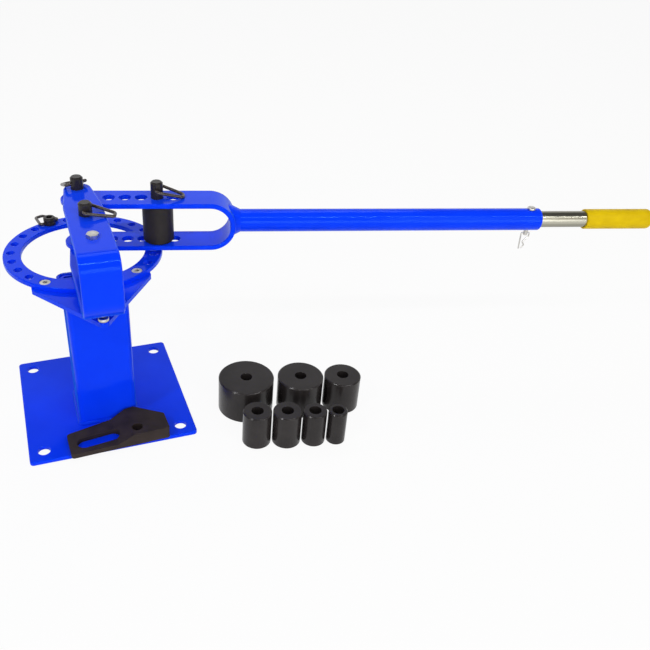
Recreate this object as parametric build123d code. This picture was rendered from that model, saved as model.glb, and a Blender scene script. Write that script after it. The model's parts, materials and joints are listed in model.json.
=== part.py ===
from build123d import *
import os
from math import atan2, cos, degrees, radians, sin, sqrt

# Bench pipe bender with a swinging yoke, its bending dies and a slotted stop block.
# Millimetres, +Z up, origin at the middle of the base plate's underside.
# The operator stands at -Y, and the handle points to +X.

# Base plate and its bolt holes
BASE_SIDE = 216.0
BASE_THICK = 5.0
BASE_CORNER = 5.0
BASE_EDGE = 0.8
BASE_HOLE_INSET = 19.0
BASE_HOLE_D = 16.0

# Square tube column
COLUMN_SIDE = 76.0
COLUMN_WALL = 5.0
COLUMN_CORNER = 7.0
COLUMN_Y = -14.0
COLUMN_LENGTH = 188.0

# Arrow-shaped top plate: a tip under each ring screw and a rounded nose in front
CAP_THICK = 6.0
CAP_TIP_OUT = 17.0
CAP_TIP_AHEAD = 5.2
CAP_TIP_BEHIND = 8.8
CAP_NOSE_REACH = 63.0
CAP_NOSE_R = 7.0
CAP_BACK_INSET = 19.0
CAP_CORNER = 4.0

# Index ring with angle holes
PIVOT_Y = 65.0
RING_THICK = 6.0
RING_HOLE_R = 93.0
RING_OUTSIDE = 10.0
RING_INSIDE = 12.5
RING_HOLE_D = 11.0
RING_STEP = 15.0
RING_EDGE = 0.8
SCREW_ANGLES = (232.5, 307.5)

# Gooseneck, one flat bar bent to a C
BAR_W = 46.5
BAR_T = 8.0
BAR_TOP_BEND_R = 20.0
BAR_LOW_BEND_R = 30.0
BAR_REACH = 192.0
BAR_TAPER = 48.0
BAR_END_R = 17.5
BAR_PLAY = 4.6
BAR_EDGE = 2.5

# Packing plates under the gooseneck, before and behind the ring
RISER_W = 34.0
RISER_L = 32.0
RISER_GAP = 2.0
RISER_CORNER = 2.0

# Swinging yoke, one flat bar bent to a U
YOKE_W = 44.5
YOKE_T = 6.4
YOKE_GAP = 53.0
YOKE_STRAIGHT = 167.0
YOKE_HOLE_FIRST = 38.0
YOKE_HOLE_STEP = 20.4
YOKE_HOLES = 5
YOKE_PIN_HOLE = 3
YOKE_EDGE = 1.0
YOKE_ANGLE = -13.5

# Handle: a tube coped and welded to the yoke, a bare inner tube and a dipped grip
EXT_OD = 22.2
EXT_WALL = 2.6
EXT_INSIDE = 152.0
TUBE_PLAY = 0.3
TUBE_WALL = 3.6
TUBE_LENGTH = 422.0
TUBE_MOUTH = 2.4
WELD_LEG = 7.0
BARE_LENGTH = 66.0
GRIP_LENGTH = 97.0
GRIP_WALL = 2.65
GRIP_CAP = 4.0
GRIP_END_FILLET = 6.0
GRIP_LIP_FILLET = 1.0

# Lock pin and its hairpin clip
LOCK_PIN_D = 6.0
LOCK_FROM_END = 14.0
LOCK_HEAD_D = 11.0
LOCK_HEAD_H = 3.0
LOCK_HEAD_ROUND = 1.5
LOCK_TIP_CHAMFER = 0.8
LOCK_BELOW = 9.0
CLIP_WIRE_D = 1.8
CLIP_DROP = 5.5
CLIP_BEND_R = 2.0
CLIP_LENGTH = 25.0
CLIP_LEAN = 1.2
CLIP_SHOULDER = 6.0
CLIP_WAVE = ((-1.6, -14.5), (2.0, -19.0), (-1.6, -24.5))

# Round pins and their wire loops
PIN_D = 16.0
PIN_ABOVE = 16.0
ROLLER_PIN_ABOVE = 22.0
PIN_CHAMFER = 1.8
HOLDING_PIN_Y = -13.6
PIVOT_PIN_BELOW = 6.0
ROLLER_PIN_BELOW = 3.0
LOOP_WIRE_D = 4.0
LOOP_SIDE = 6.5
LOOP_TIP_W = 10.0
LOOP_BEND_R = 3.4
LOOP_LENGTH = 35.0
LOOP_HOLD = 4.5
LOOP_HEIGHT = 7.4
ROLLER_LOOP_HEIGHT = 12.5
PIVOT_LOOP_TURN = 112.0
HOLDING_LOOP_TURN = -16.0
ROLLER_LOOP_TURN = 0.0

# Socket-head pin that stands in the ring and stops the yoke
STOP_HOLE = 10
STOP_HEAD_D = 16.0
STOP_HEAD_H = 10.5
STOP_CHAMFER = 1.0
STOP_SOCKET_AF = 8.0
STOP_SOCKET_DEPTH = 4.5
STOP_BELOW = 0.5
STOP_LOOP_HEIGHT = 3.2
STOP_LOOP_LENGTH = 28.0
STOP_LOOP_TURN = 5.5

# Dies and forming roller
DIE_HEIGHT = 50.8
DIE_CHAMFER = 1.4
ROLLER_D = 40.0

# Loose dies on the floor, in two rows: name, diameter and the gap to the die before it
BACK_ROW = (("die_76", 76.2, 0.0), ("die_64", 63.5, 5.6), ("die_51", 50.8, 2.2))
BACK_ROW_AT = (187.5, -69.7)
BACK_ROW_BEARING = -13.8
FRONT_ROW = (("die_38_left", 38.1, 0.0), ("die_38_right", 38.1, 1.4), ("die_32", 31.75, 1.4),
             ("die_25", 25.4, 1.7))
FRONT_ROW_AT = (180.0, -142.0)
FRONT_ROW_BEARING = -15.4

# Stop block, a thin slotted end that ramps up to a thick end
BLOCK_THIN = 7.0
BLOCK_THICK = 17.0
BLOCK_RAMP = (60.0, 80.0)
BLOCK_LENGTH = 128.0
BLOCK_LEFT_DEPTH = 40.0
BLOCK_RIGHT_DEPTH = 31.5
BLOCK_PEAK = (91.5, 58.0)
BLOCK_CORNER = 4.0
BLOCK_EDGE = 0.8
BLOCK_SLOT_W = 19.5
BLOCK_SLOT_L = 56.0
BLOCK_SLOT_AT = (38.0, 19.4)
BLOCK_SLOT_TURN = 5.0
BLOCK_HOLE_D = 14.0
BLOCK_HOLE_AT = (88.0, 15.0)
BLOCK_LEFT = -57.0
BLOCK_AHEAD = 63.0
BLOCK_TURN = 2.5

# Fasteners
M8 = dict(d=8.0, af=13.0, head=5.3, nut=6.5, washer_d=17.0, washer_t=1.6, clear=9.0)
BOLT_END = 3.0
HEX_CROWN = 0.47
FLAT_HEAD_D = 13.5
FLAT_SOCKET_AF = 5.0
FLAT_SOCKET_DEPTH = 2.5
FLAT_SINK = 0.4
CLAMP_BOLT_Y = -74.0

# Clearances, and how far a cutter runs past a face
RUN = 0.1
SEAT = 0.2
FACE = 0.3
CUT = 1.0

# Levels and places that follow from the sizes above
COLUMN_TOP = BASE_THICK + COLUMN_LENGTH
COLUMN_FRONT = COLUMN_Y - COLUMN_SIDE / 2
CAP_TOP = COLUMN_TOP + CAP_THICK
CAP_BACK = COLUMN_Y + COLUMN_SIDE / 2 - CAP_BACK_INSET
RING_TOP = CAP_TOP + RING_THICK
RING_FRONT = PIVOT_Y - RING_HOLE_R - RING_OUTSIDE
RING_INNER_FRONT = PIVOT_Y - RING_HOLE_R + RING_INSIDE
BAR_LOW_TOP = RING_TOP + BAR_T
YOKE_LOW = BAR_LOW_TOP + FACE
YOKE_LOW_TOP = YOKE_LOW + YOKE_T
YOKE_TOP = YOKE_LOW_TOP + YOKE_GAP + YOKE_T
YOKE_MID = (YOKE_LOW + YOKE_TOP) / 2
YOKE_BEND_R = (YOKE_TOP - YOKE_LOW) / 2
BAR_HIGH = YOKE_TOP + BAR_PLAY
BAR_TOP = BAR_HIGH + BAR_T
BAR_FRONT = PIVOT_Y - BAR_REACH
PIN_HOLE_R = PIN_D / 2 + RUN
ROLLER_X = YOKE_HOLE_FIRST + YOKE_PIN_HOLE * YOKE_HOLE_STEP
TUBE_BORE_R = EXT_OD / 2 + TUBE_PLAY
TUBE_R = TUBE_BORE_R + TUBE_WALL
TUBE_END = YOKE_STRAIGHT + YOKE_BEND_R + TUBE_LENGTH
GRIP_START = TUBE_END + BARE_LENGTH
GRIP_END = GRIP_START + GRIP_LENGTH
LOCK_X = TUBE_END - LOCK_FROM_END
CLIP_Z = YOKE_MID - TUBE_R - CLIP_DROP


def cylinder(radius, z0, z1, x=0.0, y=0.0):
    """Upright cylinder between two levels."""
    return Pos(x, y, z0) * extrude(Circle(radius), z1 - z0)


def hexagon(af):
    """Hexagon outline by its width across flats."""
    return RegularPolygon(af / 2, 6, major_radius=False)


def hex_prism(af, height):
    """Hexagon bolt head or nut, its top corners turned off."""
    profile = Polyline((0, 0), (af, 0), (af * HEX_CROWN, height), (0, height), close=True)
    return extrude(hexagon(af), height) & revolve(Plane.XZ * make_face(profile), Axis.Z)


def ring_point(angle):
    """Point on the ring's hole circle."""
    return (RING_HOLE_R * cos(radians(angle)), PIVOT_Y + RING_HOLE_R * sin(radians(angle)))


def on_yoke(shape):
    """Move a piece from the yoke's own frame to its place at the pivot."""
    return Pos(0, PIVOT_Y, 0) * Rot(0, 0, YOKE_ANGLE) * shape


def base_plate():
    """Square plate with four bolt holes."""
    plate = extrude(RectangleRounded(BASE_SIDE, BASE_SIDE, BASE_CORNER), BASE_THICK)
    plate = chamfer(plate.faces().sort_by(Axis.Z)[-1].outer_wire().edges(), BASE_EDGE)
    at = BASE_SIDE / 2 - BASE_HOLE_INSET
    for x in (-at, at):
        for y in (-at, at):
            plate -= cylinder(BASE_HOLE_D / 2, -CUT, BASE_THICK + CUT, x, y)
    return plate


def column():
    """Square tube that stands on the base plate."""
    inner = COLUMN_SIDE - 2 * COLUMN_WALL
    profile = RectangleRounded(COLUMN_SIDE, COLUMN_SIDE, COLUMN_CORNER)
    profile -= RectangleRounded(inner, inner, COLUMN_CORNER - COLUMN_WALL)
    return Pos(0, COLUMN_Y, BASE_THICK) * extrude(profile, COLUMN_LENGTH)


def cap_plate():
    """Arrow-shaped plate on the column, with a tip under each ring screw and a rounded nose."""
    screw_x, screw_y = ring_point(SCREW_ANGLES[1])
    tip_x = screw_x + CAP_TIP_OUT
    half = [(tip_x, screw_y - CAP_TIP_AHEAD), (tip_x, screw_y + CAP_TIP_BEHIND), (COLUMN_SIDE / 2, CAP_BACK)]
    outline = [(0, COLUMN_FRONT - CAP_NOSE_REACH)] + half + [(-x, y) for x, y in reversed(half)]
    plate = Pos(0, 0, COLUMN_TOP) * extrude(make_face(Polyline(*outline, close=True)), CAP_THICK)
    corners = plate.edges().filter_by(Axis.Z).sort_by(Axis.Y)
    plate = fillet(corners[0], CAP_NOSE_R)
    corners = plate.edges().filter_by(Axis.Z).filter_by(lambda e: abs(e.center().X) > COLUMN_SIDE / 4)
    plate = fillet(corners, CAP_CORNER)
    for angle in SCREW_ANGLES:
        plate -= cylinder(M8["clear"] / 2, COLUMN_TOP - CUT, CAP_TOP + CUT, *ring_point(angle))
    return plate


def riser(y0, y1):
    """Packing plate between the top plate and the gooseneck."""
    plate = extrude(RectangleRounded(RISER_W, y1 - y0, RISER_CORNER), RING_THICK)
    return Pos(0, (y0 + y1) / 2, CAP_TOP) * plate


def flat_head(angle, grow=0.0):
    """Countersunk head's cone at a ring hole, its flat a little below the ring's top face."""
    top = RING_TOP - FLAT_SINK
    neck = M8["d"] / 2
    rim = FLAT_HEAD_D / 2 + grow
    low = top - rim + neck
    profile = Polyline((0, low), (neck, low), (rim, top), (rim, top + CUT), (0, top + CUT), close=True)
    return Pos(*ring_point(angle), 0) * revolve(Plane.XZ * make_face(profile), Axis.Z)


def ring_hole_angles():
    """Every step round the ring, apart from the front stretch between the two screws."""
    turn = 360.0 - (SCREW_ANGLES[1] - SCREW_ANGLES[0])
    count = round(turn / RING_STEP)
    return [SCREW_ANGLES[1] + k * turn / count - 360.0 for k in range(1, count)]


def index_ring():
    """Flat ring with angle holes and two countersunk screw holes."""
    outer, inner = RING_HOLE_R + RING_OUTSIDE, RING_HOLE_R - RING_INSIDE
    ring = Pos(0, PIVOT_Y, CAP_TOP) * extrude(Circle(outer) - Circle(inner), RING_THICK)
    ring = chamfer(ring.edges().group_by(Axis.Z)[-1], RING_EDGE)
    for angle in ring_hole_angles():
        ring -= cylinder(RING_HOLE_D / 2, CAP_TOP - CUT, RING_TOP + CUT, *ring_point(angle))
    for angle in SCREW_ANGLES:
        ring -= cylinder(M8["clear"] / 2, CAP_TOP - CUT, RING_TOP + CUT, *ring_point(angle))
        ring -= flat_head(angle, grow=SEAT)
    return ring


def ring_screw(angle):
    """Flat-head socket screw that holds the ring to a tip of the top plate."""
    x, y = ring_point(angle)
    top = RING_TOP - FLAT_SINK
    low = COLUMN_TOP - M8["nut"] - BOLT_END
    screw = flat_head(angle) & cylinder(FLAT_HEAD_D, low, top, x, y)
    screw += cylinder(M8["d"] / 2, low, top - FLAT_SOCKET_DEPTH, x, y)
    socket = extrude(hexagon(FLAT_SOCKET_AF), FLAT_SOCKET_DEPTH + CUT)
    return screw - Pos(x, y, top - FLAT_SOCKET_DEPTH) * socket


def nut(x, y, z_top):
    """Hexagon nut under a face."""
    body = Pos(x, y, z_top) * Rot(180, 0, 0) * hex_prism(M8["af"], M8["nut"])
    return body - cylinder(M8["d"] / 2, z_top - M8["nut"] - CUT, z_top + CUT, x, y)


def bolt(x, y, seat, end):
    """Hexagon bolt, head up, from the head's seat down to its end."""
    return Pos(x, y, seat) * hex_prism(M8["af"], M8["head"]) + cylinder(M8["d"] / 2, end, seat, x, y)


def washer(x, y, z0):
    """Plain washer on a level."""
    z1 = z0 + M8["washer_t"]
    disc = cylinder(M8["washer_d"] / 2, z0, z1, x, y)
    return disc - cylinder(M8["d"] / 2 + SEAT, z0 - CUT, z1 + CUT, x, y)


def c_profile():
    """Side outline of the bar: straight arms, a tight top bend and a wide low bend."""
    end = PIVOT_Y + BAR_END_R
    mid = BAR_T / 2
    r1 = BAR_TOP_BEND_R - mid
    r2 = BAR_LOW_BEND_R - mid
    y_web = BAR_FRONT + mid
    z_top = BAR_TOP - mid
    z_low = RING_TOP + mid
    path = Line((end, z_top), (y_web + r1, z_top))
    path += CenterArc((y_web + r1, z_top - r1), r1, 90, 90)
    path += Line((y_web, z_top - r1), (y_web, z_low + r2))
    path += CenterArc((y_web + r2, z_low + r2), r2, 180, 90)
    path += Line((y_web + r2, z_low), (end, z_low))
    return trace(path, line_width=BAR_T)


def long_edges(bar, across, thick):
    """A bent bar's long edges, without its bend lines and the upright corners of its plan."""
    edges = bar.edges() - bar.edges().filter_by(across)
    return edges.filter_by(lambda e: e.length > thick + FACE)


def gooseneck():
    """Flat bar bent to a C that opens to the back, its arms tapered to round ends at the pivot."""
    bar = extrude(Plane.YZ * c_profile(), BAR_W / 2, both=True)
    w = BAR_W / 2
    front = BAR_FRONT - CUT
    taper = PIVOT_Y - BAR_TAPER
    half = [(w, front), (w, taper), (BAR_END_R, PIVOT_Y)]
    plan = make_face(Polyline(*half, *[(-x, y) for x, y in reversed(half)], close=True))
    plan += Pos(0, PIVOT_Y) * Circle(BAR_END_R)
    bar = bar & Pos(0, 0, RING_TOP - CUT) * extrude(plan, BAR_TOP - RING_TOP + 2 * CUT)
    bar = fillet(long_edges(bar, Axis.X, BAR_T), BAR_EDGE)
    for y in (PIVOT_Y, HOLDING_PIN_Y):
        bar -= cylinder(PIN_HOLE_R, RING_TOP - CUT, BAR_TOP + CUT, 0, y)
    return bar - cylinder(M8["clear"] / 2, BAR_HIGH - CUT, BAR_TOP + CUT, 0, CLAMP_BOLT_Y)


def yoke():
    """Flat bar bent to a U lying on its side, with a row of pin holes through both arms."""
    x_end = -YOKE_W / 2
    mid = YOKE_T / 2
    path = Line((x_end, YOKE_LOW + mid), (YOKE_STRAIGHT, YOKE_LOW + mid))
    path += CenterArc((YOKE_STRAIGHT, YOKE_MID), YOKE_BEND_R - mid, -90, 180)
    path += Line((YOKE_STRAIGHT, YOKE_TOP - mid), (x_end, YOKE_TOP - mid))
    bar = extrude(Plane.XZ * trace(path, line_width=YOKE_T), YOKE_W / 2, both=True)
    length = YOKE_STRAIGHT + YOKE_BEND_R + 2 * YOKE_W
    plan = Pos(length / 2 - YOKE_W / 2, 0, YOKE_LOW - CUT) * SlotOverall(length, YOKE_W)
    bar = bar & extrude(plan, YOKE_TOP - YOKE_LOW + 2 * CUT)
    bar = chamfer(long_edges(bar, Axis.Y, YOKE_T), YOKE_EDGE)
    for x in [0.0] + [YOKE_HOLE_FIRST + k * YOKE_HOLE_STEP for k in range(YOKE_HOLES)]:
        bar -= cylinder(PIN_HOLE_R, YOKE_LOW - CUT, YOKE_TOP + CUT, x)
    return bar


def along_handle(radius, x0, x1):
    """Round bar on the handle's axis between two stations."""
    return Pos(x0, 0, YOKE_MID) * Rot(0, 90, 0) * extrude(Circle(radius), x1 - x0)


def lock_hole():
    """Drill for the lock pin, through both tubes."""
    return cylinder(LOCK_PIN_D / 2 + RUN, YOKE_MID - 2 * TUBE_R, YOKE_MID + 2 * TUBE_R, LOCK_X)


def handle_tube():
    """Outer tube with a flared weld, coped to the yoke's bend, a rounded mouth and the lock pin's hole."""
    root = YOKE_STRAIGHT + YOKE_BEND_R
    weld_r = TUBE_R + WELD_LEG
    tube = along_handle(TUBE_R, YOKE_STRAIGHT, TUBE_END)
    tube = fillet(tube.faces().sort_by(Axis.X)[-1].edges(), TUBE_MOUTH)
    flare = Polyline((YOKE_STRAIGHT, 0), (root + WELD_LEG, 0), (root + WELD_LEG, TUBE_R),
                     (root - WELD_LEG, weld_r), (YOKE_STRAIGHT, weld_r), close=True)
    tube += Pos(0, 0, YOKE_MID) * revolve(Plane.XZ * make_face(flare), Axis.X)
    tube -= along_handle(TUBE_BORE_R, YOKE_STRAIGHT - CUT, TUBE_END + CUT)
    tube -= Pos(YOKE_STRAIGHT, 0, YOKE_MID) * Rot(90, 0, 0) * Cylinder(YOKE_BEND_R, 2 * YOKE_W)
    return (tube - lock_hole()).solids().sort_by(Axis.X)[-1]


def handle_extension():
    """Inner tube that comes out of the handle."""
    tube = along_handle(EXT_OD / 2, TUBE_END - EXT_INSIDE, GRIP_END - GRIP_CAP)
    tube -= along_handle(EXT_OD / 2 - EXT_WALL, TUBE_END - EXT_INSIDE - CUT, GRIP_END)
    return tube - lock_hole()


def grip():
    """Dipped grip with a rounded closed end."""
    body = along_handle(EXT_OD / 2 + GRIP_WALL, GRIP_START, GRIP_END)
    body = fillet(body.faces().sort_by(Axis.X)[-1].edges(), GRIP_END_FILLET)
    body = fillet(body.faces().sort_by(Axis.X)[0].edges(), GRIP_LIP_FILLET)
    return body - along_handle(EXT_OD / 2, GRIP_START - CUT, GRIP_END - GRIP_CAP)


def lock_pin():
    """Headed pin that locks the extension, with a cross hole for its clip."""
    top = YOKE_MID + TUBE_R + SEAT
    low = YOKE_MID - TUBE_R - LOCK_BELOW
    shank = cylinder(LOCK_PIN_D / 2, low, top, LOCK_X)
    shank = chamfer(shank.faces().sort_by(Axis.Z)[0].edges(), LOCK_TIP_CHAMFER)
    head = cylinder(LOCK_HEAD_D / 2, top, top + LOCK_HEAD_H, LOCK_X)
    head = fillet(head.faces().sort_by(Axis.Z)[-1].edges(), LOCK_HEAD_ROUND)
    cross = Rot(0, 90, 0) * Cylinder(CLIP_WIRE_D / 2 + RUN, 3 * LOCK_PIN_D)
    return shank + head - Pos(LOCK_X, 0, CLIP_Z) * cross


def bent_wire(points, bend_r, wire_d):
    """Round wire along straight runs with rounded bends."""
    path = FilletPolyline(*points, radius=bend_r)
    return sweep(Plane(origin=path @ 0, z_dir=path % 0) * Circle(wire_d / 2), path=path)


def hairpin_clip():
    """Hairpin clip through the lock pin: one straight leg and one wavy leg."""
    side = LOCK_PIN_D / 2 + CLIP_WIRE_D / 2 + CLIP_BEND_R
    straight = [(CLIP_LEAN - side, -CLIP_LENGTH), (-side, 0)]
    points = straight + [(side, 0), (side, -CLIP_SHOULDER)] + list(CLIP_WAVE)
    return Pos(LOCK_X, 0, CLIP_Z) * bent_wire([(x, 0, z) for x, z in points], CLIP_BEND_R, CLIP_WIRE_D)


def loop(x, y, z, height, width, length, turn, rest):
    """Wire loop hung in a pin that stands on level z, tilted until it rests on an edge at a reach."""
    side, tip, hold = width / 2 + LOOP_SIDE, LOOP_TIP_W / 2, width / 2 - LOOP_HOLD
    points = [(0, -hold, 0), (0, -side, 0), (length, -tip, 0), (length, tip, 0), (0, side, 0), (0, hold, 0)]
    tilt = degrees(atan2(height - LOOP_WIRE_D / 2 - FACE, rest))
    shape = bent_wire(points, LOOP_BEND_R, LOOP_WIRE_D)
    return Pos(x, y, z + height) * Rot(0, 0, turn) * Rot(0, tilt, 0) * shape


def loop_hole(height, turn):
    """Cross drill for a loop's ends."""
    return Pos(0, 0, height) * Rot(0, 0, turn) * Rot(90, 0, 0) * Cylinder(LOOP_WIRE_D / 2 + RUN, 2 * PIN_D)


def round_pin(x, y, level, above, hole, low, turn):
    """Plain pin with chamfered ends and a cross hole for its loop."""
    pin = cylinder(PIN_D / 2, low, level + above, x, y)
    pin = chamfer(pin.edges().filter_by(GeomType.CIRCLE), PIN_CHAMFER)
    return pin - Pos(x, y, level) * loop_hole(hole, turn)


def stop_pin(angle):
    """Socket-head pin that stands in a hole of the ring."""
    base = RING_TOP + SEAT
    top = base + STOP_HEAD_H
    head = cylinder(STOP_HEAD_D / 2, base, top)
    head = chamfer(head.faces().sort_by(Axis.Z)[-1].edges(), STOP_CHAMFER)
    shank = cylinder(RING_HOLE_D / 2 - RUN, CAP_TOP - STOP_BELOW, base)
    shank = chamfer(shank.faces().sort_by(Axis.Z)[0].edges(), STOP_CHAMFER)
    socket = Pos(0, 0, top - STOP_SOCKET_DEPTH) * extrude(hexagon(STOP_SOCKET_AF), STOP_SOCKET_DEPTH + CUT)
    pin = head + shank - socket - Pos(0, 0, RING_TOP) * loop_hole(STOP_LOOP_HEIGHT, angle + STOP_LOOP_TURN)
    return Pos(*ring_point(angle), 0) * pin


def die(diameter, height):
    """Turned die with broken edges and a bore for the round pins."""
    body = extrude(Circle(diameter / 2), height)
    body = chamfer(body.edges().filter_by(GeomType.CIRCLE), DIE_CHAMFER)
    return body - cylinder(PIN_HOLE_R, -CUT, height + CUT)


def die_row(row, start, bearing):
    """Dies that stand in a line on the floor, each at its gap from the one before."""
    made = {}
    along = 0.0
    last = 0.0
    for name, diameter, gap in row:
        along += last + gap + (diameter / 2 if last else 0.0)
        last = diameter / 2
        x = start[0] + along * cos(radians(bearing))
        y = start[1] + along * sin(radians(bearing))
        made[name] = Pos(x, y, 0) * die(diameter, DIE_HEIGHT)
    return made


def stop_block():
    """Five-sided stop block: a thin slotted end ramps up to a thick end with a hole."""
    right = [(BLOCK_LENGTH, 0), (BLOCK_LENGTH, BLOCK_RIGHT_DEPTH)]
    outline = [(0, 0), *right, BLOCK_PEAK, (0, BLOCK_LEFT_DEPTH)]
    block = extrude(make_face(Polyline(*outline, close=True)), BLOCK_THICK)
    block = fillet(block.edges().filter_by(Axis.Z), BLOCK_CORNER)
    side = [(0, 0), (BLOCK_LENGTH, 0), (BLOCK_LENGTH, BLOCK_THICK), (BLOCK_RAMP[1], BLOCK_THICK),
            (BLOCK_RAMP[0], BLOCK_THIN), (0, BLOCK_THIN)]
    block = block & extrude(Plane.XZ * make_face(Polyline(*side, close=True)), 2 * BLOCK_PEAK[1], both=True)
    block = chamfer(block.faces().sort_by(Axis.Z)[-1].edges(), BLOCK_EDGE)
    slot = extrude(SlotOverall(BLOCK_SLOT_L, BLOCK_SLOT_W), BLOCK_THICK + 2 * CUT)
    block -= Pos(*BLOCK_SLOT_AT, -CUT) * Rot(0, 0, BLOCK_SLOT_TURN) * slot
    block -= cylinder(BLOCK_HOLE_D / 2, -CUT, BLOCK_THICK + CUT, *BLOCK_HOLE_AT)
    return Pos(BLOCK_LEFT, COLUMN_FRONT - BLOCK_AHEAD, BASE_THICK) * Rot(0, 0, BLOCK_TURN) * block


def frame_parts():
    """Base, column, ring and gooseneck with their fasteners."""
    under = BAR_HIGH - M8["washer_t"]
    return {
        "base_plate": base_plate(),
        "column": column(),
        "cap_plate": cap_plate(),
        "riser_front": riser(RING_FRONT - RISER_GAP - RISER_L, RING_FRONT - RISER_GAP),
        "riser_rear": riser(RING_INNER_FRONT + RISER_GAP, CAP_BACK),
        "index_ring": index_ring(),
        "gooseneck": gooseneck(),
        "ring_screws": Compound(children=[ring_screw(a) for a in SCREW_ANGLES]),
        "ring_nuts": Compound(children=[nut(*ring_point(a), COLUMN_TOP) for a in SCREW_ANGLES]),
        "clamp_bolt": bolt(0, CLAMP_BOLT_Y, BAR_TOP, under - M8["nut"] - BOLT_END),
        "clamp_washer": washer(0, CLAMP_BOLT_Y, under),
        "clamp_nut": nut(0, CLAMP_BOLT_Y, under),
    }


def arm_parts():
    """Yoke, handle, roller and what is pinned to them, in the yoke's own frame."""
    roller = die(ROLLER_D, YOKE_GAP - 2 * FACE)
    pin = (YOKE_TOP, ROLLER_PIN_ABOVE, ROLLER_LOOP_HEIGHT, YOKE_LOW - ROLLER_PIN_BELOW, ROLLER_LOOP_TURN)
    at_tip = sqrt(LOOP_LENGTH ** 2 - (ROLLER_LOOP_HEIGHT - LOOP_WIRE_D / 2 - FACE) ** 2)
    hung = (YOKE_TOP, ROLLER_LOOP_HEIGHT, PIN_D, LOOP_LENGTH, ROLLER_LOOP_TURN, at_tip)
    return {
        "yoke": yoke(),
        "handle_tube": handle_tube(),
        "handle_extension": handle_extension(),
        "grip": grip(),
        "lock_pin": lock_pin(),
        "hairpin_clip": hairpin_clip(),
        "roller_pin": round_pin(ROLLER_X, 0, *pin),
        "roller_pin_bail": loop(ROLLER_X, 0, *hung),
        "forming_roller": Pos(ROLLER_X, 0, YOKE_LOW_TOP + FACE) * roller,
    }


def pin_parts():
    """Pivot pin, holding pin and angle stop pin, each with its loop."""
    seat = (BAR_TOP, PIN_ABOVE, LOOP_HEIGHT)
    hung = (BAR_TOP, LOOP_HEIGHT, PIN_D, LOOP_LENGTH)
    angle = ring_hole_angles()[STOP_HOLE]
    stop = (RING_TOP, STOP_LOOP_HEIGHT, STOP_HEAD_D, STOP_LOOP_LENGTH, angle + STOP_LOOP_TURN, RING_OUTSIDE)
    leg = (PIN_D / 2 + LOOP_SIDE + LOOP_TIP_W / 2) / 2
    turn = radians(abs(HOLDING_LOOP_TURN))
    at_end = sqrt((BAR_END_R - BAR_EDGE / 2) ** 2 - leg ** 2)
    at_side = (BAR_W / 2 - BAR_EDGE + leg * sin(turn)) / cos(turn)
    return {
        "pivot_pin": round_pin(0, PIVOT_Y, *seat, RING_TOP - PIVOT_PIN_BELOW, PIVOT_LOOP_TURN),
        "holding_pin": round_pin(0, HOLDING_PIN_Y, *seat, RING_TOP + FACE, HOLDING_LOOP_TURN),
        "angle_stop_pin": stop_pin(angle),
        "pivot_pin_bail": loop(0, PIVOT_Y, *hung, PIVOT_LOOP_TURN, at_end),
        "holding_pin_bail": loop(0, HOLDING_PIN_Y, *hung, HOLDING_LOOP_TURN, at_side),
        "angle_stop_pin_bail": loop(*ring_point(angle), *stop),
    }


def build():
    """All pieces by name."""
    parts = frame_parts()
    parts.update({name: on_yoke(shape) for name, shape in arm_parts().items()})
    parts.update(pin_parts())
    parts["stop_block"] = stop_block()
    parts.update(die_row(BACK_ROW, BACK_ROW_AT, BACK_ROW_BEARING))
    parts.update(die_row(FRONT_ROW, FRONT_ROW_AT, FRONT_ROW_BEARING))
    return parts


os.makedirs("parts", exist_ok=True)
for node, shape in build().items():
    export_step(shape, f"parts/{node}.step")
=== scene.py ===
import json
import math

import bpy
from mathutils import Matrix, Vector

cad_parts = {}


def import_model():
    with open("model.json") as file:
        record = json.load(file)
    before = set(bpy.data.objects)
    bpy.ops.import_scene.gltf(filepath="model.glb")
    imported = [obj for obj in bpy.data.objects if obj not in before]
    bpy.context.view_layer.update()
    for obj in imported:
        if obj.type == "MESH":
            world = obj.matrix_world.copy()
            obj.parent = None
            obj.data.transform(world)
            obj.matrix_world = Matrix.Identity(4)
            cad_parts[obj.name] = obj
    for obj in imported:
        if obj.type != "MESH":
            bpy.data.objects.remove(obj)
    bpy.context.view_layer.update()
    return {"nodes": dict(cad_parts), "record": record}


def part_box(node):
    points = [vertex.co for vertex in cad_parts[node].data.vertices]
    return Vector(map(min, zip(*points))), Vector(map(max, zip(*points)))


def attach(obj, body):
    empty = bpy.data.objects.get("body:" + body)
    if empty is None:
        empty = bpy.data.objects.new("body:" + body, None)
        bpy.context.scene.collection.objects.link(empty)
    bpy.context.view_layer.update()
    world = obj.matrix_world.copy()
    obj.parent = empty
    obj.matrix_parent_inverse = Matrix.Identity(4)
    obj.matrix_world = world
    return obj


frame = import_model()

# Lengths are in metres, turns in degrees and powers in watts, except where a comment says otherwise

# Camera fitted to the photograph: the square picture's side, focal length and middle column in pixels
PICTURE = 650
FOCAL_PIXELS = 743.8
MIDDLE_COLUMN = 275.0
CAMERA_AT = (-0.0719, -0.8394, 0.6821)
CAMERA_TURN = 21.13
CAMERA_DOWN = 33.78
CAMERA_ROLL = 3.15
# Sensor width in millimetres
SENSOR = 36.0

# Floor: its width, grey and roughness, and the share of plain white in what is seen of it
FLOOR_SIZE = 12.0
FLOOR_GREY = 0.8
FLOOR_ROUGHNESS = 0.9
FLOOR_WHITE = 0.93

# Walls and ceiling: the light they cast, and the ceiling's grey
WORLD_LIGHT = 0.25
CEILING = 0.2
# Height is taken along a direction that leans to the front; between two heights walls fade to ceiling
CEILING_SLOPE = (0.0, -0.22, 1.0)
WALL_TOP = 0.44
CEILING_FROM = 0.57

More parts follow.
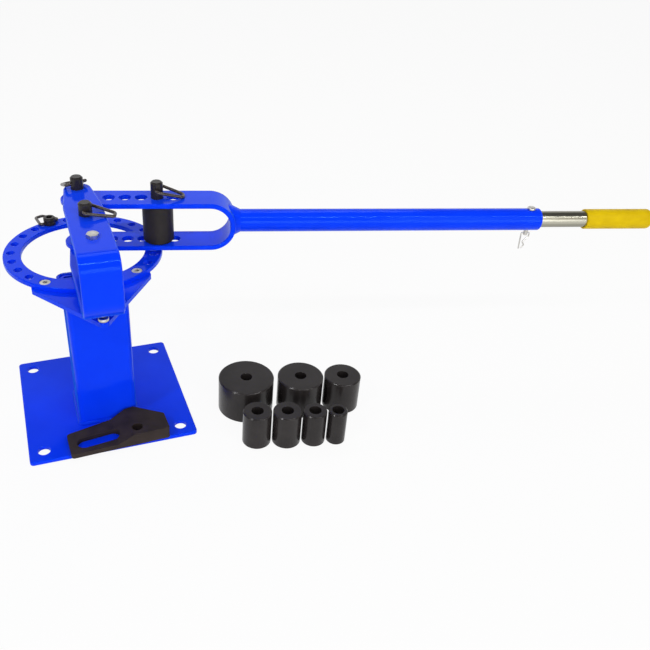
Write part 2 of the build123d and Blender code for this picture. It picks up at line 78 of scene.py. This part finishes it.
# Soft boxes: where each stands and what it faces, its width and height, and its power
WHITE = (1.0, 1.0, 1.0)
WARM = (1.0, 0.95, 0.82)
LAMPS = {
    "front_box": {"place": (-0.3, -2.2, 0.5), "target": (0.1, 0.0, 0.15),
                  "size": (3.0, 0.9), "power": 26.0},
    "top_box": {"place": (0.15, 0.9, 2.2), "target": (0.15, 0.0, 0.15),
                "size": (2.4, 0.8), "power": 16.0},
    "key_box": {"place": (0.8, -1.75, 1.25), "target": (0.4, -0.05, 0.2),
                "size": (0.7, 0.7), "power": 2.8, "colour": WARM},
    "left_box": {"place": (-1.05, -0.65, 1.5), "target": (0.1, -0.05, 0.1),
                 "size": (0.14, 0.14), "power": 7.0},
    "strip": {"place": (0.83, -1.46, 2.03), "target": (1.13, -0.21, 0.25),
              "size": (2.4, 0.09), "power": 17.0},
}

# Paint: its gloss and sheen with their tints; the gloss fades out between two values of Facing
PAINT_GLOSS = 0.14
PAINT_FADE = (0.6, 0.93)
PAINT_GLOSS_TINT = (0.25, 0.9, 1.0, 1.0)
PAINT_SHEEN = 0.34
PAINT_SHEEN_ROUGHNESS = 0.4
PAINT_SHEEN_TINT = (0.08, 0.48, 1.0, 1.0)

# Edges: the radii that soften painted and bare ones, and the samples that a soft edge takes
PAINT_EDGE = 0.0009
STEEL_EDGE = 0.0005
EDGE_SAMPLES = 6

# Turned steel: roughness and gloss of the pins and dies, and of the duller roller
TURNED_FINISH = {"rough": (0.19, 0.29), "gloss": 0.26}
ROLLER_FINISH = {"rough": (0.4, 0.5), "gloss": 0.16}

# Drawn tube: the handle's bearing, and how far its lines and its painted reflection stretch along it
HANDLE_TURN = -13.5
DRAWN_STRETCH = (60.0, 1.0, 1.0)

# Welds at the column: its rounding, where the loose block stops the bead, the leg, and the section in legs
COLUMN_CORNER = 0.007
WELD_GAP_FROM = 0.006
WELD_LEG = 0.0042
WELD_SECTION = [(-0.2, -0.2), (-0.2, 1.0), (0.34, 0.62), (0.62, 0.34), (1.0, -0.2)]
# Ripple: its step along the bead, its turn at each step in radians, and the share of the leg at its lowest
WELD_STEP = 0.0011
WELD_RIPPLE = 1.35
WELD_DIP = 0.86
# A bead's ends: the share of the leg there, and the steps that would add a whole leg
WELD_END = 0.35
WELD_TAPER = 6

# Nose of the top plate: its rounding, its edges' bearing, the bend above it and the gap for its screw
NOSE_R = 0.007
NOSE_TURN = 53.9
LOW_BEND_R = 0.03
NOSE_GAP = 0.0085
# Welds on the nose: how far inside its edge they run, how deep they reach, how far they swell and ripple
NOSE_INSET = 0.003
NOSE_DEPTH = 0.004
NOSE_SWELL = 0.0012
NOSE_RIPPLE = 0.0004
# The share of the wedge's height that sinks in at both sides, and the face by shares of swell and height
NOSE_SINK = 0.05
NOSE_FACE = [(1.0, -NOSE_SINK), (0.55, 0.3), (0.0, 0.6), (0.3, 1.0 + NOSE_SINK)]

# Screw on the nose: its head, the rounding of the head's rim, its socket and the sides of its circles
SCREW_R = 0.0064
SCREW_TALL = 0.0042
SCREW_ROUND = 0.0014
SCREW_SOCKET_R = 0.0025
SCREW_SOCKET_FLOOR = 0.0014
SCREW_SIDES = 48

# Knurl of the stop pin: the head's radius, and where the band starts and ends below the head's top
KNURL_R = 0.008
KNURL_FROM = 0.0052
KNURL_TO = 0.0011
# Its teeth, how far they stand out, how far the band sinks in, and which steps of a tooth are its crest
KNURL_TEETH = 36
KNURL_DEPTH = 0.00022
KNURL_SINK = 0.0004
TOOTH_STEPS = 4
TOOTH_CREST = (1, 2)

# Threads of the bolt ends: radius, pitch and depth, and the ridge's half widths in pitches
BOLT_R = 0.004
PITCH = 0.00125
THREAD_DEPTH = 0.0002
THREAD_FOOT = 0.42
THREAD_CREST = 0.08
# Steps in a turn and in a run-out, and the width of a ring screw's nut over its corners
THREAD_STEPS = 28
THREAD_TAPER = 6
NUT_CORNERS = 0.01501


def new_material(name):
    """A node material with one principled shader."""
    material = bpy.data.materials.new(name)
    material.use_nodes = True
    tree = material.node_tree
    shader = tree.nodes["Principled BSDF"]
    return material, tree, shader


def node(tree, kind, **inputs):
    """A node whose named sockets or properties are set."""
    made = tree.nodes.new(kind)
    for key, value in inputs.items():
        socket = key.replace("_", " ").title()
        if socket in made.inputs:
            made.inputs[socket].default_value = value
        else:
            setattr(made, key, value)
    return made


def noise(tree, scale, detail=4.0):
    """Noise in the object's own space, in metres."""
    place = node(tree, "ShaderNodeTexCoord")
    grain = node(tree, "ShaderNodeTexNoise", scale=scale, detail=detail)
    tree.links.new(place.outputs["Object"], grain.inputs["Vector"])
    return grain.outputs["Fac"]


def ramp(tree, source, stops):
    """Colour ramp over a source, its two stops as (position, colour)."""
    made = node(tree, "ShaderNodeValToRGB")
    for element, (position, colour) in zip(made.color_ramp.elements, stops):
        element.position = position
        element.color = (*colour, 1.0)
    tree.links.new(source, made.inputs["Fac"])
    return made.outputs["Color"]


def spread(tree, source, low, high, start=0.0, end=1.0):
    """A number that goes from low to high as a source goes from start to end."""
    made = node(tree, "ShaderNodeMapRange", from_min=start, from_max=end, to_min=low, to_max=high)
    tree.links.new(source, made.inputs["Value"])
    return made.outputs["Result"]


def tones(tree, shader, source, dark, light, start=0.3, end=0.7):
    """Base colour that goes from a dark tone to a light one as a source goes from start to end."""
    tree.links.new(ramp(tree, source, [(start, dark), (end, light)]), shader.inputs["Base Color"])


def roughness(tree, shader, source, low, high):
    """Roughness that follows a source between two values."""
    tree.links.new(spread(tree, source, low, high), shader.inputs["Roughness"])


def relief(tree, shader, source, strength, distance, edge=0.0):
    """Fine relief from a source, over edges rounded by a small radius."""
    made = node(tree, "ShaderNodeBump", strength=strength, distance=distance)
    tree.links.new(source, made.inputs["Height"])
    if edge:
        soft = node(tree, "ShaderNodeBevel", samples=EDGE_SAMPLES, radius=edge)
        tree.links.new(soft.outputs["Normal"], made.inputs["Normal"])
    tree.links.new(made.outputs["Normal"], shader.inputs["Normal"])


def turned_place(tree, centre):
    """Distance from an upright axis and height, so that lathe lines run round the axis."""
    place = node(tree, "ShaderNodeTexCoord")
    shift = node(tree, "ShaderNodeVectorMath", operation="SUBTRACT")
    shift.inputs[1].default_value = centre
    flat = node(tree, "ShaderNodeVectorMath", operation="MULTIPLY")
    flat.inputs[1].default_value = (1.0, 1.0, 0.0)
    reach = node(tree, "ShaderNodeVectorMath", operation="LENGTH")
    parts = node(tree, "ShaderNodeSeparateXYZ")
    both = node(tree, "ShaderNodeCombineXYZ")
    tree.links.new(place.outputs["Object"], shift.inputs[0])
    tree.links.new(shift.outputs["Vector"], flat.inputs[0])
    tree.links.new(flat.outputs["Vector"], reach.inputs[0])
    tree.links.new(shift.outputs["Vector"], parts.inputs["Vector"])
    tree.links.new(reach.outputs["Value"], both.inputs["X"])
    tree.links.new(parts.outputs["Z"], both.inputs["Z"])
    return both.outputs["Vector"]


def blue_paint():
    """Powder coat with a faint orange peel, soft edges and a gloss that fades where it is seen edge-on."""
    material, tree, shader = new_material("blue_paint_look")
    tones(tree, shader, noise(tree, scale=14.0), dark=(0.001, 0.033, 0.85), light=(0.002, 0.042, 0.94))
    roughness(tree, shader, noise(tree, scale=60.0), low=0.09, high=0.14)
    facing = node(tree, "ShaderNodeLayerWeight").outputs["Facing"]
    gloss = spread(tree, facing, PAINT_GLOSS, 0.0, *PAINT_FADE)
    tree.links.new(gloss, shader.inputs["Specular IOR Level"])
    shader.inputs["Specular Tint"].default_value = PAINT_GLOSS_TINT
    shader.inputs["Sheen Weight"].default_value = PAINT_SHEEN
    shader.inputs["Sheen Roughness"].default_value = PAINT_SHEEN_ROUGHNESS
    shader.inputs["Sheen Tint"].default_value = PAINT_SHEEN_TINT
    peel = noise(tree, scale=420.0, detail=2.0)
    relief(tree, shader, peel, strength=0.02, distance=0.0003, edge=PAINT_EDGE)
    return material


def black_steel(name, centre, rough, gloss):
    """Blackened turned steel: lathe lines round its axis, a gloss and a brown cast."""
    material, tree, shader = new_material(name)
    cast = noise(tree, scale=35.0)
    tones(tree, shader, cast, dark=(0.016, 0.0135, 0.0135), light=(0.027, 0.023, 0.0225), end=0.75)
    low, high = rough
    roughness(tree, shader, noise(tree, scale=70.0), low, high)
    shader.inputs["Specular IOR Level"].default_value = gloss
    lines = node(tree, "ShaderNodeTexNoise", scale=1500.0, detail=2.0)
    tree.links.new(turned_place(tree, centre), lines.inputs["Vector"])
    relief(tree, shader, lines.outputs["Fac"], strength=0.08, distance=0.0002, edge=STEEL_EDGE)
    return material


def cut_steel():
    """Blackened flat steel of the block, with a mottled brown scale."""
    material, tree, shader = new_material("cut_steel_look")
    scale = noise(tree, scale=55.0, detail=6.0)
    tones(tree, shader, scale, dark=(0.020, 0.014, 0.013), light=(0.038, 0.027, 0.025))
    roughness(tree, shader, noise(tree, scale=110.0), low=0.55, high=0.72)
    shader.inputs["Specular IOR Level"].default_value = 0.16
    relief(tree, shader, noise(tree, scale=500.0), strength=0.15, distance=0.0004, edge=STEEL_EDGE)
    return material


def black_wire():
    """Blackened spring wire with a brown cast."""
    material, tree, shader = new_material("black_wire_look")
    cast = noise(tree, scale=120.0)
    tones(tree, shader, cast, dark=(0.020, 0.014, 0.012), light=(0.050, 0.035, 0.030), end=0.75)
    roughness(tree, shader, noise(tree, scale=200.0), low=0.22, high=0.38)
    shader.inputs["Specular IOR Level"].default_value = 0.6
    relief(tree, shader, noise(tree, scale=1400.0, detail=2.0), strength=0.1, distance=0.0002)
    return material


def zinc():
    """Zinc plate with a grey bloom and a warm cast."""
    material, tree, shader = new_material("zinc_look")
    bloom = noise(tree, scale=160.0)
    tones(tree, shader, bloom, dark=(0.42, 0.41, 0.39), light=(0.72, 0.70, 0.66), end=0.75)
    roughness(tree, shader, noise(tree, scale=300.0), low=0.22, high=0.38)
    shader.inputs["Metallic"].default_value = 1.0
    grain = noise(tree, scale=900.0, detail=2.0)
    relief(tree, shader, grain, strength=0.06, distance=0.0002, edge=STEEL_EDGE)
    return material


def bare_tube():
    """Drawn steel tube with fine lines along its length, and painted reflection: darker and lighter
    stripes along it.
    """
    material, tree, shader = new_material("bare_tube_look")
    place = node(tree, "ShaderNodeTexCoord")
    along = node(tree, "ShaderNodeMapping", vector_type="TEXTURE")
    along.inputs["Rotation"].default_value = (0.0, 0.0, math.radians(HANDLE_TURN))
    along.inputs["Scale"].default_value = DRAWN_STRETCH
    lines = node(tree, "ShaderNodeTexNoise", scale=900.0, detail=3.0)
    painted_reflection_bands = node(tree, "ShaderNodeTexNoise", scale=95.0, detail=1.0)
    tree.links.new(place.outputs["Object"], along.inputs["Vector"])
    for texture in (lines, painted_reflection_bands):
        tree.links.new(along.outputs["Vector"], texture.inputs["Vector"])
    # Painted reflection: the colour goes from a dark to a light tone in stripes along the tube
    dark, light = (0.18, 0.175, 0.14), (0.50, 0.485, 0.40)
    tones(tree, shader, painted_reflection_bands.outputs["Fac"], dark, light, start=0.35, end=0.65)
    roughness(tree, shader, lines.outputs["Fac"], low=0.18, high=0.36)
    shader.inputs["Metallic"].default_value = 1.0
    relief(tree, shader, lines.outputs["Fac"], strength=0.05, distance=0.0002)
    return material


def yellow_grip():
    """Dipped vinyl with a faint mottle."""
    material, tree, shader = new_material("yellow_grip_look")
    tones(tree, shader, noise(tree, scale=45.0), dark=(0.60, 0.405, 0.001), light=(0.72, 0.51, 0.002))
    roughness(tree, shader, noise(tree, scale=150.0), low=0.36, high=0.52)
    shader.inputs["Specular IOR Level"].default_value = 0.1
    relief(tree, shader, noise(tree, scale=600.0, detail=3.0), strength=0.12, distance=0.0004)
    return material


LOOKS = {
    "blue_paint": blue_paint(),
    "black_steel": cut_steel(),
    "black_wire": black_wire(),
    "zinc": zinc(),
    "bare_tube": bare_tube(),
    "yellow_grip": yellow_grip(),
}


def middle(name):
    """Middle of a node's box at rest."""
    low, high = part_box(name)
    return tuple((a + b) / 2 for a, b in zip(low, high))


def paint_nodes():
    """Give each CAD node the look of its record slot, and each turned one its own lathe lines."""
    slots = {part["node"]: part["material_slot"] for part in frame["record"]["subparts"]}
    for name, part in frame["nodes"].items():
        look = LOOKS[slots[name]]
        is_turned = slots[name] == "black_steel" and name != "stop_block"
        if is_turned:
            finish = ROLLER_FINISH if name == "forming_roller" else TURNED_FINISH
            look = black_steel(name + "_look", middle(name), **finish)
        part.data.materials.clear()
        part.data.materials.append(look)


def add_piece(name, points, faces, look, body, slot):
    """A mesh piece that rides on a body and wears the given look; its slot argument is not used."""
    mesh = bpy.data.meshes.new(name)
    mesh.from_pydata(points, [], faces)
    mesh.shade_smooth()
    piece = bpy.data.objects.new(name, mesh)
    bpy.context.scene.collection.objects.link(piece)
    mesh.materials.append(look)
    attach(piece, body)


def ribbon(rows, closed):
    """Points and faces between rows of points, each row a closed section, with the open ends shut."""
    count = len(rows[0])
    points = [p for row in rows for p in row]
    faces = []
    for k in range(len(rows) if closed else len(rows) - 1):
        one = k * count
        two = (k + 1) % len(rows) * count
        for i in range(count):
            j = (i + 1) % count
            faces.append((one + i, one + j, two + j, two + i))
    if not closed:
        faces.append(tuple(range(count - 1, -1, -1)))
        faces.append(tuple(range(len(points) - count, len(points))))
    return points, faces


def joined(parts):
    """One list of points and one of faces from several."""
    points, faces = [], []
    for more, quads in parts:
        faces += [tuple(i + len(points) for i in face) for face in quads]
        points += more
    return points, faces


def square_path(side, corner, middle_y, step):
    """Points and outward directions round a rounded square, from its front middle to the left."""
    half = side / 2 - corner
    front, left, back, right = (0.0, -1.0), (-1.0, 0.0), (0.0, 1.0), (1.0, 0.0)
    runs = [(front, left), (left, back), (back, right), (right, front), (front, left)]
    path = []
    for k, (out, way) in enumerate(runs):
        is_last = k == len(runs) - 1
        first = 0.0 if k == 0 else -half
        last = 0.0 if is_last else half
        count = round((last - first) / step)
        for i in range(count):
            t = first + (last - first) * i / count
            x = out[0] * side / 2 + way[0] * t
            y = middle_y + out[1] * side / 2 + way[1] * t
            path.append(((x, y), out))
        if is_last:
            break
        turns = round(corner * math.pi / 2 / step)
        for i in range(turns):
            a = math.pi / 2 * i / turns
            ray = tuple(o * math.cos(a) + w * math.sin(a) for o, w in zip(out, way))
            x = out[0] * half + way[0] * half + ray[0] * corner
            y = middle_y + out[1] * half + way[1] * half + ray[1] * corner
            path.append(((x, y), ray))
    return path


def weld_bead(name, path, level, up, body):
    """Fillet weld along a path in the corner over (or under) a level, with the ripple of its runs."""
    rows = []
    for k, ((x, y), (nx, ny)) in enumerate(path):
        from_end = min(k, len(path) - 1 - k)
        ripple = WELD_DIP + (1.0 - WELD_DIP) * abs(math.sin(k * WELD_RIPPLE))
        size = WELD_LEG * ripple * min(1.0, WELD_END + from_end / WELD_TAPER)
        section = [(u * size, v * size) for u, v in WELD_SECTION]
        rows.append([(x + nx * u, y + ny * u, level + up * v) for u, v in section])
    if up < 0:
        rows = [row[::-1] for row in rows]
    add_piece(name, *ribbon(rows, False), LOOKS["blue_paint"], body, "blue_paint")


def column_welds(body):
    """Beads round the column's foot, open where the loose block lies, and under the top plate."""
    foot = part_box("base_plate")[1][2]
    low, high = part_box("column")
    path = square_path(high[0] - low[0], COLUMN_CORNER, middle("column")[1], WELD_STEP)
    kept = [p for p in path if not (p[0][1] < low[1] + COLUMN_CORNER and p[0][0] > WELD_GAP_FROM)]
    # One run, which starts where the gap ends and goes round to where it begins
    gap = next(k for k in range(len(path)) if path[k] not in kept)
    weld_bead("column_foot_weld", kept[gap:] + kept[:gap], foot, 1.0, body)
    weld_bead("column_cap_weld", path + path[:1], high[2], -1.0, body)


def nose_path(tip, half, step):
    """Points and outward directions along the nose's rounded V, inside its edge, from left to right."""
    turn = math.radians(NOSE_TURN)
    reach = NOSE_R - NOSE_INSET
    middle_y = tip + NOSE_R
    start = reach * math.sin(turn)
    run = (half - start) / math.cos(turn)
    count = round(run / step)
    side = []
    for k in range(count, 0, -1):
        t = run * k / count
        x = start + math.cos(turn) * t
        y = middle_y - reach * math.cos(turn) + math.sin(turn) * t
        side.append((x, y))
    out = (math.sin(turn), -math.cos(turn))
    path = [((-x, y), (-out[0], out[1])) for x, y in side]
    arc = round(2 * turn * reach / step)
    for k in range(arc + 1):
        a = -turn + 2 * turn * k / arc
        ray = (math.sin(a), -math.cos(a))
        path.append(((reach * ray[0], middle_y + reach * ray[1]), ray))
    return path + [((x, y), out) for x, y in reversed(side)]


def nose_weld(name, body):
    """Weld on each side of the nose's screw, in the wedge under the gooseneck's low bend."""
    tip, floor_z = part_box("cap_plate")[0][1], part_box("cap_plate")[1][2]
    low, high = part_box("gooseneck")
    path = nose_path(tip, (high[0] - low[0]) / 2 - PAINT_EDGE, WELD_STEP)
    runs = {"left": [], "right": []}
    for k, ((x, y), (nx, ny)) in enumerate(path):
        if abs(x) < NOSE_GAP:
            continue
        sunk = max(0.0, low[1] + LOW_BEND_R - y)
        roof = low[2] + LOW_BEND_R - math.sqrt(LOW_BEND_R ** 2 - sunk ** 2)
        tall = roof - floor_z
        swell = NOSE_SWELL + NOSE_RIPPLE * abs(math.sin(k * WELD_RIPPLE))
        face = [(u * swell, v) for u, v in NOSE_FACE]
        section = [(-NOSE_DEPTH, -NOSE_SINK), *face, (-NOSE_DEPTH, 1.0 + NOSE_SINK)]
        row = [(x + nx * u, y + ny * u, floor_z + v * tall) for u, v in section]
        runs["left" if x < 0 else "right"].append(row)
    both = joined(ribbon(rows, False) for rows in runs.values())
    add_piece(name, *both, LOOKS["blue_paint"], body, "blue_paint")


def nose_screw(name, body):
    """Bright round head of the screw on the top plate's nose, with a socket."""
    low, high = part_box("cap_plate")
    y = low[1] + NOSE_R
    # Small step for the rim's rounding, the socket's chamfer and the head's sunk foot
    fine = SCREW_ROUND / 4
    profile = [(SCREW_R, -fine), (SCREW_R, fine), (SCREW_R, SCREW_TALL - SCREW_ROUND),
               (SCREW_R - fine, SCREW_TALL - fine * 2), (SCREW_R - fine * 2, SCREW_TALL - fine),
               (SCREW_R - SCREW_ROUND, SCREW_TALL), (SCREW_SOCKET_R + fine, SCREW_TALL),
               (SCREW_SOCKET_R, SCREW_TALL - fine), (SCREW_SOCKET_R, SCREW_SOCKET_FLOOR)]
    turns = [math.pi * 2 * k / SCREW_SIDES for k in range(SCREW_SIDES)]
    rows = [[(r * math.cos(a), y + r * math.sin(a), high[2] + z) for a in turns] for r, z in profile]
    add_piece(name, *ribbon(rows, False), LOOKS["zinc"], body, "zinc")


def knurl(name, body):
    """Band of straight grooves round the stop pin's head."""
    head = middle("angle_stop_pin")
    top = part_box("angle_stop_pin")[1][2]
    low, high = top - KNURL_FROM, top - KNURL_TO
    inner = KNURL_R - KNURL_SINK
    steps = KNURL_TEETH * TOOTH_STEPS
    rows = []
    for k in range(steps):
        a = math.pi * 2 * k / steps
        out = KNURL_R + (KNURL_DEPTH if k % TOOTH_STEPS in TOOTH_CREST else 0.0)
        profile = [(inner, low), (out, low + KNURL_DEPTH), (out, high - KNURL_DEPTH), (inner, high)]
        rows.append([(head[0] + r * math.cos(a), head[1] + r * math.sin(a), z) for r, z in profile])
    look = black_steel("knurl_look", head, **TURNED_FINISH)
    add_piece(name, *ribbon(rows, True), look, body, "black_steel")


def thread(name, places, low, high, body):
    """Helical ridge round each of some upright bolt ends."""
    inner = BOLT_R - THREAD_DEPTH
    foot, crest = PITCH * THREAD_FOOT, PITCH * THREAD_CREST
    count = round((high - low - PITCH) / PITCH * THREAD_STEPS)
    ends = []
    for x, y in places:
        rows = []
        for k in range(count + 1):
            a = math.pi * 2 * k / THREAD_STEPS
            z = low + PITCH / 2 + PITCH * k / THREAD_STEPS
            out = BOLT_R + THREAD_DEPTH * min(1.0, k / THREAD_TAPER, (count - k) / THREAD_TAPER)
            profile = [(inner, z - foot), (out, z - crest), (out, z + crest), (inner, z + foot)]
            rows.append([(x + r * math.cos(a), y + r * math.sin(a), h) for r, h in profile])
        ends.append(ribbon(rows, False))
    add_piece(name, *joined(ends), LOOKS["zinc"], body, "zinc")


def bolt_threads(body):
    """Threads of the clamp bolt and the ring screws, from each one's end up to its nut."""
    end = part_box("clamp_bolt")[0][2]
    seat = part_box("clamp_nut")[0][2]
    thread("clamp_bolt_thread", [middle("clamp_bolt")[:2]], end, seat, body)
    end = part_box("ring_screws")[0][2]
    low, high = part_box("ring_nuts")
    y = (low[1] + high[1]) / 2
    places = [(low[0] + NUT_CORNERS / 2, y), (high[0] - NUT_CORNERS / 2, y)]
    thread("ring_screw_threads", places, end, low[2], body)


def camera():
    """Camera at the photograph's place and angle."""
    turn, down, roll = (math.radians(a) for a in (CAMERA_TURN, CAMERA_DOWN, CAMERA_ROLL))
    ahead = Vector((math.sin(turn) * math.cos(down), math.cos(turn) * math.cos(down), -math.sin(down)))
    level = Vector((math.cos(turn), -math.sin(turn), 0.0))
    above = level.cross(ahead)
    right = level * math.cos(roll) + above * math.sin(roll)
    up = above * math.cos(roll) - level * math.sin(roll)
    lens = bpy.data.cameras.new("camera")
    lens.sensor_width = SENSOR
    lens.lens = FOCAL_PIXELS / PICTURE * SENSOR
    lens.shift_x = (PICTURE / 2 - MIDDLE_COLUMN) / PICTURE
    body = bpy.data.objects.new("camera", lens)
    axes = Matrix((right, up, -ahead)).transposed().to_4x4()
    body.matrix_world = Matrix.Translation(CAMERA_AT) @ axes
    bpy.context.scene.collection.objects.link(body)
    bpy.context.scene.camera = body


def seen_directly(tree):
    """1 for camera, mirror and glass rays, 0 for the light that falls on the object."""
    path = node(tree, "ShaderNodeLightPath")
    either = node(tree, "ShaderNodeMath", operation="MAXIMUM")
    any_of = node(tree, "ShaderNodeMath", operation="MAXIMUM")
    tree.links.new(path.outputs["Is Camera Ray"], either.inputs[0])
    tree.links.new(path.outputs["Is Glossy Ray"], either.inputs[1])
    tree.links.new(either.outputs["Value"], any_of.inputs[0])
    tree.links.new(path.outputs["Is Transmission Ray"], any_of.inputs[1])
    return any_of.outputs["Value"]


def world():
    """White walls with a dimmer ceiling that light the object softly."""
    made = bpy.data.worlds.new("studio")
    made.use_nodes = True
    bpy.context.scene.world = made
    tree = made.node_tree
    back = tree.nodes["Background"]
    back.inputs["Color"].default_value = (*WHITE, 1.0)
    place = node(tree, "ShaderNodeTexCoord")
    height = node(tree, "ShaderNodeVectorMath", operation="DOT_PRODUCT")
    height.inputs[1].default_value = CEILING_SLOPE
    tree.links.new(place.outputs["Generated"], height.inputs[0])
    shown = ramp(tree, height.outputs["Value"], [(WALL_TOP, WHITE), (CEILING_FROM, (CEILING,) * 3)])
    strength = node(tree, "ShaderNodeMapRange", to_min=WORLD_LIGHT)
    tree.links.new(shown, strength.inputs["To Max"])
    tree.links.new(seen_directly(tree), strength.inputs["Value"])
    tree.links.new(strength.outputs["Result"], back.inputs["Strength"])


def floor():
    """Plain pale floor that keeps a faint shadow."""
    bpy.ops.mesh.primitive_plane_add(size=FLOOR_SIZE)
    plane = bpy.context.object
    plane.name = "floor"
    material, tree, shader = new_material("floor_look")
    shader.inputs["Base Color"].default_value = (FLOOR_GREY, FLOOR_GREY, FLOOR_GREY, 1.0)
    shader.inputs["Roughness"].default_value = FLOOR_ROUGHNESS
    shader.inputs["Specular IOR Level"].default_value = 0.0
    glow = node(tree, "ShaderNodeEmission", strength=1.0)
    mix = node(tree, "ShaderNodeMixShader")
    share = node(tree, "ShaderNodeMath", operation="MULTIPLY")
    share.inputs[1].default_value = FLOOR_WHITE
    tree.links.new(seen_directly(tree), share.inputs[0])
    tree.links.new(share.outputs["Value"], mix.inputs["Fac"])
    tree.links.new(shader.outputs["BSDF"], mix.inputs[1])
    tree.links.new(glow.outputs["Emission"], mix.inputs[2])
    tree.links.new(mix.outputs["Shader"], tree.nodes["Material Output"].inputs["Surface"])
    plane.data.materials.append(material)


def soft_box(name, place, target, size, power, colour=WHITE):
    """Soft box that faces a point."""
    data = bpy.data.lights.new(name, "AREA")
    data.shape = "RECTANGLE"
    data.size, data.size_y = size
    data.energy = power
    data.color = colour
    made = bpy.data.objects.new(name, data)
    made.location = place
    made.rotation_mode = "QUATERNION"
    made.rotation_quaternion = (Vector(target) - Vector(place)).to_track_quat("-Z", "Y")
    bpy.context.scene.collection.objects.link(made)


paint_nodes()
column_welds("frame")
nose_weld("nose_weld", "frame")
nose_screw("nose_screw", "frame")
knurl("stop_pin_knurl", "stop_pin")
bolt_threads("frame")
camera()
world()
floor()
for lamp, settings in LAMPS.items():
    soft_box(lamp, **settings)
bpy.context.scene.view_settings.view_transform = "Standard"
